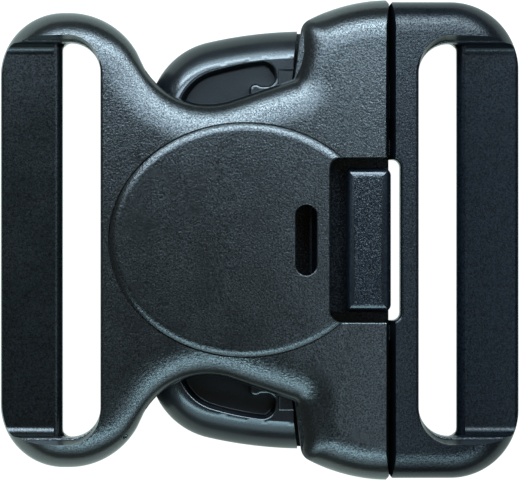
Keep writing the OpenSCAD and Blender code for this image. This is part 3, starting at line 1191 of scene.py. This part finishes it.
    def scoop(self, side: Side) -> Piece:
        """The solid that shaves a crescent off a shoulder's edge.

        Args:
            side: The side it lies on.

        Returns:
            The object.
        """
        (low_y, high_y), deep, (floor_z, slope) = self.scoop_y, self.scoop_deep, self.scoop_floor
        up, middle_y = SHOULDER.up, (low_y + high_y) / 2
        half = (high_y - low_y) / 2 / up.y
        radius = (half**2 + deep**2) / (2 * deep)
        middle = Vector((SHOULDER.at(middle_y), middle_y))
        high_x, low_x = SHOULDER.at(high_y), SHOULDER.at(low_y)
        pen = drawn((high_x - self.scoop_out, high_y), (high_x, high_y))
        pen.arc(middle + (deep - radius) * Vector((up.y, -up.x)),
                -2 * math.degrees(math.asin(half / radius)), 24)
        wall = pen.line((low_x - self.scoop_out, low_y)).closed()
        wall.build([lambda i: wall.point(i, 0, floor_z + slope * (
            wall.plan[i].x - SHOULDER.at(wall.plan[i].y))), wall.flat(0, CROWN.over)])
        return sided("scoop_tool", wall, side)

    def sill(self, side: Side) -> Piece:
        """The sill under a lever's locking end.

        Args:
            side: The side it lies on.

        Returns:
            The object.
        """
        (low_y, high_y), w = self.sill_y, self.sill_w
        corners = [(SHOULDER.at(y) + across, y)
                   for y, across in ((low_y, -w), (high_y, -w), (high_y, w), (low_y, w))]
        wall = drawn(*corners).closed().prism(self.sill_z, self.room_z[0])
        return sided("sill_tool", wall, side)

    def dimple(self) -> Piece:
        """The solid that leaves a small dimple beside the lower ear.

        Returns:
            The object.
        """
        bm = bmesh.new()
        bmesh.ops.create_icosphere(bm, subdivisions=3, radius=self.mark_r)
        bmesh.ops.translate(bm, verts=bm.verts, vec=self.mark)
        return finished("dimple_tool", bm)

    def tongue_slot(self) -> list[Piece]:
        """The solids that open the back for the tab's tongue and its round root."""
        (x, half, top), (seat_z, seat_r, seat_l) = self.tongue, self.tongue_seat
        slot = block("tongue_slot_tool", (x, SEAM.socket_x + CLEAR), (-half, half),
                     (-CLEAR, top))
        return [slot, rod("tongue_seat_tool", Vector((x, 0, seat_z)), seat_r, seat_l, Axis.Y)]

    def openings(self) -> list[Piece]:
        """The solids of the small oblong slot and of the tab's window.

        Returns:
            The objects.
        """
        x, r, half = self.peep
        peep = slot_pen((x - r, x + r), half, r - NEAR, r - NEAR)
        window = slot_pen((self.window_x, SEAM.socket_x + 3 * CLEAR), self.window_y, self.window_r,
                          self.window_r)
        return [opening("peep_tool", peep, self.peep_z, self.pad.surface, self.peep_lip),
                opening("window_tool", window, self.room_z[0] + CLEAR, self.pad.front,
                        self.window_lip)]

    def build(self) -> None:
        """Builds the whole frame as one mesh."""
        body = crowned("socket_shell", self.outline(), SEAM.socket_x, SEAM.socket_lean)
        worked(body, [self.pad.bed()], Cut.AWAY)
        worked(body, [self.pad.solid()], Cut.ON)
        worked(body, [*self.openings(), *self.strap_end.tools(), self.room(),
                      *(self.scoop(side) for side in Side),
                      *SEAM.nicks(SEAM.socket_x, self.block_y, 1), self.dimple(),
                      *self.tongue_slot()], Cut.AWAY)
        worked(body, [self.sill(side) for side in Side], Cut.ON)
        put_in(body, Place(Body.BUCKLE, "socket_body", "socket_plastic"), self.finish)


@dataclass(frozen=True)
class Plug:
    """The right frame: strap end, front rail with its notch, and the catch bar."""

    finish: Moulded
    half_l: float = 34.1
    half_w: float = 31.3
    corner_r: float = 9.0
    rim: Rim = Rim(4.0, 3.7)
    notch: tuple[float, float, float] = (18.45, 10.55, 1.0)  # end, half length, corner
    notch_lip: float = 0.5
    notch_draft: float = 0.05
    catch_x: Plan = (6.6, 8.8)
    catch_y: Plan = (11.2, 13.2)
    catch_z: Plan = (6.1, 8.9)
    crest: float = 0.28
    ramp: float = 1.6
    seat_r: float = 2.7
    seat_z: Plan = (2.5, 8.4)
    strap_end: StrapEnd = field(default_factory=lambda: StrapEnd(slot_y=25.85))

    def outline(self) -> Wall:
        """Draws the outline, turned round, from the bar end to the seam.

        Returns:
            The wall.
        """
        start = (self.corner_r - self.half_l, self.half_w - self.corner_r)
        pen = Pen((-self.half_l, start[1]), self.rim).arc(start, -90, 26)
        return pen.line((-SEAM.plug_x, self.half_w), steps=8).fix_inward((0, -1)).mirrored()

    def catch(self) -> Piece:
        """The bar that the tab's plate catches on, ramped behind its crest.

        Returns:
            The object.
        """
        (front, back), y, top = self.catch_x, self.catch_y[1], self.catch_z[1]
        bar = block("catch_bar_tool", self.catch_x, (-y, y), self.catch_z)
        with opened(bar.data) as bm:
            bmesh.ops.bisect_plane(bm, geom=[*bm.verts, *bm.edges, *bm.faces], dist=NEAR,
                                   plane_co=(front + self.crest, 0, 0), plane_no=(1, 0, 0))
            edge = [v for v in bm.verts if v.co.x > back - NEAR and v.co.z > top - NEAR]
            bmesh.ops.translate(bm, verts=edge, vec=(0, 0, -self.ramp))
        return bar

    def seat(self, side: Side) -> Piece:
        """The solid that hollows the seat of a lever's round root.

        Args:
            side: The side it lies on.

        Returns:
            The object.
        """
        x, y = LEVER_ROOT
        low, high = self.seat_z
        return rod("seat_tool", Vector((x, side.value * y, (low + high) / 2)), self.seat_r,
                   high - low, Axis.Z)

    def rail(self, side: Side) -> Piece:
        """The rail between the frame and one end of the catch bar."""
        reach = sorted(side.value * y for y in self.catch_y)
        return block("rail_tool", (self.catch_x[0], SEAM.plug_x + CLEAR), reach, self.catch_z)

    def build(self) -> None:
        """Builds the whole frame as one mesh."""
        body = crowned("plug_frame_shell", self.outline(), -SEAM.plug_x, SEAM.plug_lean)
        worked(body, self.strap_end.tools(), Cut.AWAY)
        flipped(body, Axis.X)
        x, y, r = self.notch
        notch = opening("notch_tool", slot_pen((SEAM.plug_x - 2 * CLEAR, x), y, r, r), -CLEAR,
                        CROWN.at, self.notch_lip, self.notch_draft)
        worked(body, [notch, *(self.seat(side) for side in Side),
                      *SEAM.nicks(SEAM.plug_x, self.half_w, -1)], Cut.AWAY)
        worked(body, [*(self.rail(side) for side in Side), self.catch()], Cut.ON)
        put_in(body, Place(Body.BUCKLE, "plug_frame", "plug_plastic"), self.finish)


@dataclass(frozen=True)
class Pocket:
    """Finger pocket in a lever's face, with the hook in its inner edge."""

    tip: Plan
    r: float = 6.05
    turns: Plan = (188.0, 107.0)  # first and last angle of the tip
    side_r: float = 37.7
    side_turn: float = 10.2
    end_r: float = 1.7
    end_turn: float = 96.8
    heel_y: float = 21.35
    heel_r: float = 1.1
    hook: Plan = (0.3, 20.25)
    barb: tuple[Plan, Plan] = ((0.6, -35.0), (0.8, 125.0))  # radius and turn of its two arcs
    hook_x: float = -3.0
    hook_y: float = 21.4
    lip: float = 0.22
    hook_lip: float = 0.36
    foot: Plan = (0.12, 0.53)  # least width, and what the rim adds
    foot_y: Plan = (15.4, 2.0)  # where that begins at the tip, and how long it takes
    foot_z: float = 2.2
    over: Plan = (1.05, -2.5)  # shares of the lip that the last ring lies at

    def outline(self) -> Wall:
        """Draws the outline: round the tip, along the rim, round the end and over the hook.

        Returns:
            The wall.
        """
        pen = Pen(polar(self.tip, self.r, self.turns[0]))
        pen.arc(self.tip, self.turns[1] - self.turns[0], 24)
        pen.turn(self.side_r, -self.side_turn, 10).turn(self.end_r, -self.end_turn, 12)
        pen.line((pen.chain[-1].co.x, self.heel_y)).turn(self.heel_r, -90, 10)
        pen.line(self.hook).turn(*self.barb[0], 4).turn(*self.barb[1], 10)
        return pen.line((pen.chain[-1].co.x, pen.chain[0].co.y)).closed()

    def foot_w(self, p: Vector) -> float:
        """Width of the round foot at a point of the outline: wide under the rim alone."""
        low_y, rise = (self.hook_y, 1.0) if p.x > self.hook_x else self.foot_y
        return self.foot[0] + self.foot[1] * min(max((p.y - low_y) / rise, 0.0), 1.0)

    def lip_w(self, p: Vector) -> float:
        """Width of the round lip at a point of the outline: wider at the hook."""
        return self.hook_lip if p.x > self.hook_x and p.y < self.hook_y else self.lip

    def solid(self, z0: float, top: float) -> Wall:
        """The solid that hollows the front face, from the pocket's floor to over the face.

        Args:
            z0: Height of the pocket's floor.
            top: Height of the face.

        Returns:
            The wall, closed at both ends.
        """
        wall = self.outline()

        def foot(a: float) -> Spot:
            """Places on the round foot of the walls at angle a."""
            share, z = 1 - math.sin(a), z0 + self.foot_z * (1 - math.cos(a))
            return lambda i: wall.point(i, self.foot_w(wall.plan[i]) * share, z)

        def mouth(share: float, down: float) -> Spot:
            """Places on the round lip, by the shares of its width passed and depth left."""
            lips = [self.lip_w(p) for p in wall.plan]
            return lambda i: wall.point(i, -lips[i] * share, top - lips[i] * down)

        edge = [mouth(1 - math.cos(a), 1 - math.sin(a)) for a in quarter(4)]
        wall.build([*(foot(a) for a in quarter(9)), *edge, mouth(*self.over)])
        return wall


@dataclass(frozen=True)
class Lever:
    """A squeeze lever: finger rim with a pocket, locking end, spring arm and round root."""

    finish: Moulded
    side: Side
    tip: Plan = (-4.6, 16.3)
    tip_r: float = 9.97
    side_r: float = 58.0
    side_turn: float = 12.9
    tip_end: float = 202.0
    rim_end_x: float = 4.955
    thick: float = 7.0
    mid_z: float = 6.4
    rim: Rim = Rim(5.2)
    rim_turn: float = 70.9
    rim_shelf: float = 0.015
    rim_heel: float = 1.5
    parting_z: float = 5.05
    arm: Plan = (16.0, 21.0)  # its two sides
    arm_end: float = 16.3
    arm_step: tuple[Plan, Plan, Plan] = ((2.45, 17.6), (15.0, 22.45), (9.65, 11.5))
    step_r: float = 0.24
    root_r: float = 2.5
    root_top: float = 8.0
    latch_gap: float = 0.3
    web: float = 1.5

    def end_x(self, y: float) -> float:
        """The locking end's face at y."""
        return SHOULDER.at(y) - self.latch_gap

    def outline(self) -> Wall:
        """Draws the whole outline clockwise, from the tip's inner end.

        Returns:
            The wall.
        """
        side_a = 90 + self.side_turn
        side_c = polar(self.tip, self.tip_r - self.side_r, side_a)
        x = self.rim_end_x - side_c.x
        last_a = math.degrees(math.atan2(math.sqrt(self.side_r**2 - x**2), x))
        low_y, high_y = self.arm
        pen = Pen(polar(self.tip, self.tip_r, self.tip_end), self.rim)
        pen.fix_inward(polar((0.0, 0.0), -1.0, self.tip_end))
        pen.arc(self.tip, side_a - self.tip_end, 40).arc(side_c, last_a - side_a, 16)
        pen.fix_inward(-SHOULDER.up)
        heel_y = high_y + self.rim_heel
        pen.line((self.end_x(heel_y), heel_y)).rims[-1] = SHARP
        pen.line((self.end_x(high_y), high_y))
        for corner in ((self.arm_end, high_y), (self.arm_end, low_y), (self.tip[0], low_y)):
            pen.line(corner)
        return pen.line(self.tip).closed()

    def body(self) -> Piece:
        """The lever's solid before the pockets, with the half-round outer edge.

        Returns:
            The object.
        """
        wall = self.outline()
        half, last = self.thick / 2, math.radians(self.rim_turn)
        up = (self.mid_z + half - self.parting_z) / math.sin(last)
        down = self.parting_z - self.mid_z + half

        def spot(a: float, more: float = 0.0) -> Spot:
            """Places on the round edge at angle a from its parting line, or a little further in.

            What lies further in is a hair higher, so that no cut merges it with the rest.

            Args:
                a: The angle.
                more: How much further in, as a share of the rim's width.

            Returns:
                The places.
            """
            z = self.parting_z + (up if a > 0 else down) * math.sin(a) + more / 4
            share = 1 - math.cos(a) + more
            return lambda i: wall.point(i, wall.rims[i].width * share, z)

        angles = [*(-a for a in reversed(quarter(8))), *(last * s / 10 for s in range(1, 11))]
        wall.build([*(spot(a) for a in angles), spot(last, self.rim_shelf)])
        return finished(f"{self.side.word}_lever_shell", wall.bm)

    def pocket(self, front: bool) -> Piece:
        """The solid that hollows the pocket in one of the two faces.

        Args:
            front: Whether it is the pocket of the front face.

        Returns:
            The object.
        """
        bm = Pocket(self.tip).solid(self.mid_z + self.web / 2, self.mid_z + self.thick / 2).bm
        if not front:
            for move, vec in ((bmesh.ops.translate, (0, 0, -self.mid_z)),
                              (bmesh.ops.scale, (1.0, 1.0, -1.0)),
                              (bmesh.ops.translate, (0, 0, self.mid_z))):
                move(bm, verts=bm.verts, vec=vec)
        return finished("pocket_tool", bm)

    def build(self) -> None:
        """Builds the lever as one mesh."""
        body = self.body()
        low = self.mid_z - self.thick / 2
        root = rod("lever_root_tool", Vector((*LEVER_ROOT, (low + self.root_top) / 2)),
                   self.root_r, self.root_top - low, Axis.Z)
        worked(body, [root], Cut.ON)
        worked(body, [self.pocket(True), self.pocket(False),
                      block("arm_step_tool", *self.arm_step, self.step_r)], Cut.AWAY)
        if self.side is Side.LOWER:
            flipped(body, Axis.Y)
        node = f"{self.side.word}_lever"
        put_in(body, Place(Body[self.side.name], node, "lever_plastic"), self.finish)


@dataclass(frozen=True)
class ReleaseTab:
    """The centre release: grained button, catch plate and bending tongue."""

    finish: Moulded
    x: Plan = (11.4, 17.25)
    half_y: float = 9.45
    top: float = 11.6
    left_r: float = 0.6
    right_r: float = 1.0
    bevel: tuple[Plan, ...] = ((0.0, 1.3), (0.12, 0.9), (0.3, 0.56), (0.46, 0.39), (0.55, 0.33),
                               (1.2, 0.05), (1.34, 0.0))
    left_share: float = 0.85
    plate_x: float = 9.1
    plate_z: Plan = (5.0, 7.0)
    tongue_x: float = -1.0
    tongue_y: float = 5.0
    tongue_z: Plan = (2.4, 4.4)
    root_r: float = 1.3
    set_back: tuple[float, float, float] = (0.3, 0.2, 0.1)  # of plate, tongue and neck
    neck_in: tuple[float, float, float] = (0.1, 0.05, 0.2)  # along X, Y and Z

    def button(self) -> Piece:
        """The button, with its bevelled front.

        Returns:
            The object.
        """
        wall = slot_pen(self.x, self.half_y, self.left_r, self.right_r).mirrored()

        def ring(inset: float, down: float) -> Spot:
            """Places of a ring on the bevel, held inside the face that it frames.

            Args:
                inset: How far inside the button's edge it lies.
                down: How far under its top.

            Returns:
                The places.
            """
            left, right = self.x[0] + self.left_share * inset, self.x[1] - inset
            reach = self.half_y - inset
            return lambda i: Vector((min(max(wall.plan[i].x, left), right),
                                     min(max(wall.plan[i].y, -reach), reach), self.top - down))

        wall.build([wall.flat(0, self.plate_z[0]), *(ring(*at) for at in self.bevel)])
        return finished("release_tab_shell", wall.bm)

    def build(self) -> None:
        """Builds the tab as one mesh."""
        body = self.button()
        right, y, (low, high) = self.x[1], self.tongue_y, self.tongue_z
        plate_end, tongue_end, neck_end = (right - back for back in self.set_back)
        in_x, in_y, in_z = self.neck_in
        worked(body, [
            block("plate_tool", (self.plate_x, plate_end), (-self.half_y, self.half_y),
                  self.plate_z),
            block("tongue_tool", (self.tongue_x, tongue_end), (-y, y), self.tongue_z),
            block("neck_tool", (self.plate_x + in_x, neck_end), (in_y - y, y - in_y),
                  (low + in_z, self.plate_z[1] - in_z)),
            rod("tongue_root_tool", Vector((self.tongue_x, 0, (low + high) / 2)), self.root_r,
                2 * y, Axis.Y)], Cut.ON)
        put_in(body, Place(Body.TAB, "release_tab", "tab_plastic"), self.finish)


@dataclass(frozen=True)
class Softbox:
    """A studio light: its place and size in metres, its strength and its colour."""

    name: str
    at: tuple[float, float, float]
    size: Plan
    power: float
    colour: tuple[float, float, float]
    aim: tuple[float, float, float] = (0.0, 0.0, 0.006)

    def build(self) -> None:
        """Adds the light, aimed at the object."""
        light = bpy.data.lights.new(self.name, "AREA")
        light.shape = "RECTANGLE"
        light.size, light.size_y = self.size
        light.energy, light.color = self.power, self.colour
        holder = bpy.data.objects.new(self.name, light)
        holder.location = self.at
        way = Vector(self.aim) - Vector(self.at)
        holder.rotation_euler = way.to_track_quat("-Z", "Y").to_euler()
        holder.visible_camera = False
        bpy.context.scene.collection.objects.link(holder)


def white_to_camera(tree: bpy.types.NodeTree, other: Sequence[float]) -> bpy.types.NodeSocket:
    """White for the camera, and another colour for everything else.

    Args:
        tree: The node tree.
        other: The other colour.

    Returns:
        The colour, as an output.
    """
    seen = wired(tree, "LightPath", "Is Camera Ray", {})
    return wired(tree, "Mix", "Result", {
        "A": (*other, 1), "B": (1.0, 1.0, 1.0, 1), "Factor": seen}, data_type="RGBA")


@dataclass(frozen=True)
class Studio:
    """White floor, soft light and the camera straight over the object."""

    camera_at: tuple[float, float, float] = (-0.00001, 0.0, 2.0)
    sensor: float = 36.0
    scale: float = 7.6  # pixels of the photo for each millimetre
    focus_z: float = 0.008  # in metres
    floor: float = 0.15  # in metres
    floor_gap: float = 0.02  # in millimetres
    floor_grey: float = 0.1
    floor_glow: tuple[float, float, float] = (0.55, 0.69, 0.64)
    room: tuple[float, float, float] = (0.07, 0.06, 0.04)
    lights: tuple[Softbox, ...] = (
        Softbox("key_softbox", (0.0, 0.158, 0.165), (0.40, 0.044), 1.08, (0.66, 0.86, 1.0)),
        Softbox("low_key_softbox", (0.0, 0.190, 0.125), (0.40, 0.044), 0.30, (0.6, 0.85, 1.0)),
        Softbox("near_softbox", (0.0, 0.045, 0.090), (0.16, 0.018), 0.092, (0.6, 0.82, 1.0)),
        Softbox("fill_softbox", (0.0, -0.150, 0.150), (0.36, 0.040), 0.34, (0.54, 0.85, 1.0)),
        Softbox("low_fill_softbox", (0.0, -0.180, 0.099), (0.36, 0.080), 0.13, (0.58, 0.88, 1.0)),
        Softbox("side_softbox", (0.041, 0.0, 0.125), (0.144, 0.024), 0.018, (0.6, 0.83, 1.0)),
    )

    def _world(self) -> None:
        """A dark room, which the camera alone sees as white."""
        world = bpy.data.worlds.new("room")
        world.use_nodes = True
        tree = world.node_tree
        feed(tree, tree.nodes["Background"], {"Color": white_to_camera(tree, self.room)})
        bpy.context.scene.world = world

    def _floor(self) -> None:
        """The white floor the object lies on."""
        bm = bmesh.new()
        bmesh.ops.create_grid(bm, x_segments=1, y_segments=1, size=self.floor / 2 / MM)
        bmesh.ops.translate(bm, verts=bm.verts, vec=(0, 0, -self.floor_gap))
        floor = finished("floor", bm)
        floor.data.transform(Matrix.Scale(MM, 4))
        paint = bpy.data.materials.new("white_floor")
        paint.use_nodes = True
        tree = paint.node_tree
        feed(tree, tree.nodes["Principled BSDF"], {
            "Base Color": (*[self.floor_grey] * 3, 1), "Roughness": 0.9,
            "Emission Strength": 1.0,
            "Emission Color": white_to_camera(tree, self.floor_glow)})
        floor.data.materials.append(paint)

    def _camera(self) -> None:
        """The camera, straight over the object."""
        data = bpy.data.cameras.new("camera")
        data.sensor_width = self.sensor
        width = PHOTO_W / self.scale * MM
        data.lens = data.sensor_width * (self.camera_at[2] - self.focus_z) / width
        camera = bpy.data.objects.new("camera", data)
        camera.location = self.camera_at
        bpy.context.scene.collection.objects.link(camera)
        bpy.context.scene.camera = camera

    def build(self) -> None:
        """Sets up the floor, the lights and the camera."""
        self._world()
        self._floor()
        self._camera()
        for light in self.lights:
            light.build()
        bpy.context.scene.view_settings.view_transform = "Standard"


def main() -> None:
    """Builds every piece of the buckle and the studio round it."""
    logging.basicConfig(level=logging.INFO, format="%(name)s: %(message)s")
    socket = Moulded("socket_plastic_finish", (0.0024, 0.0032, 0.0036), 0.28, 0.28, 0.020)
    plug = Moulded("plug_plastic_finish", (0.0022, 0.0031, 0.0046), 0.28, 0.28, 0.020, 0.31,
                   coat=0.15)
    lever = Moulded("lever_plastic_finish", (0.0022, 0.0030, 0.0042), 0.25, 0.2, 0.002, 0.74,
                    sparkle=((0.3, 0.7), (0.85, 1.15)), smooth_below=8.6, painted_shade_gloss=0.6,
                    low_roughness=1.4, coat=0.2)
    tab = Moulded("tab_plastic_finish", (0.0030, 0.0043, 0.0062), 0.30, 0.26, 0.026, 0.27,
                  sparkle=((0.46, 0.70), (0.10, 4.0)), steep=(0.93, 0.98), coat=0.35)
    for part in (Studio(), Socket(socket), Plug(plug), *(Lever(lever, side) for side in Side),
                 ReleaseTab(tab)):
        part.build()


if __name__ == "__main__":
    main()
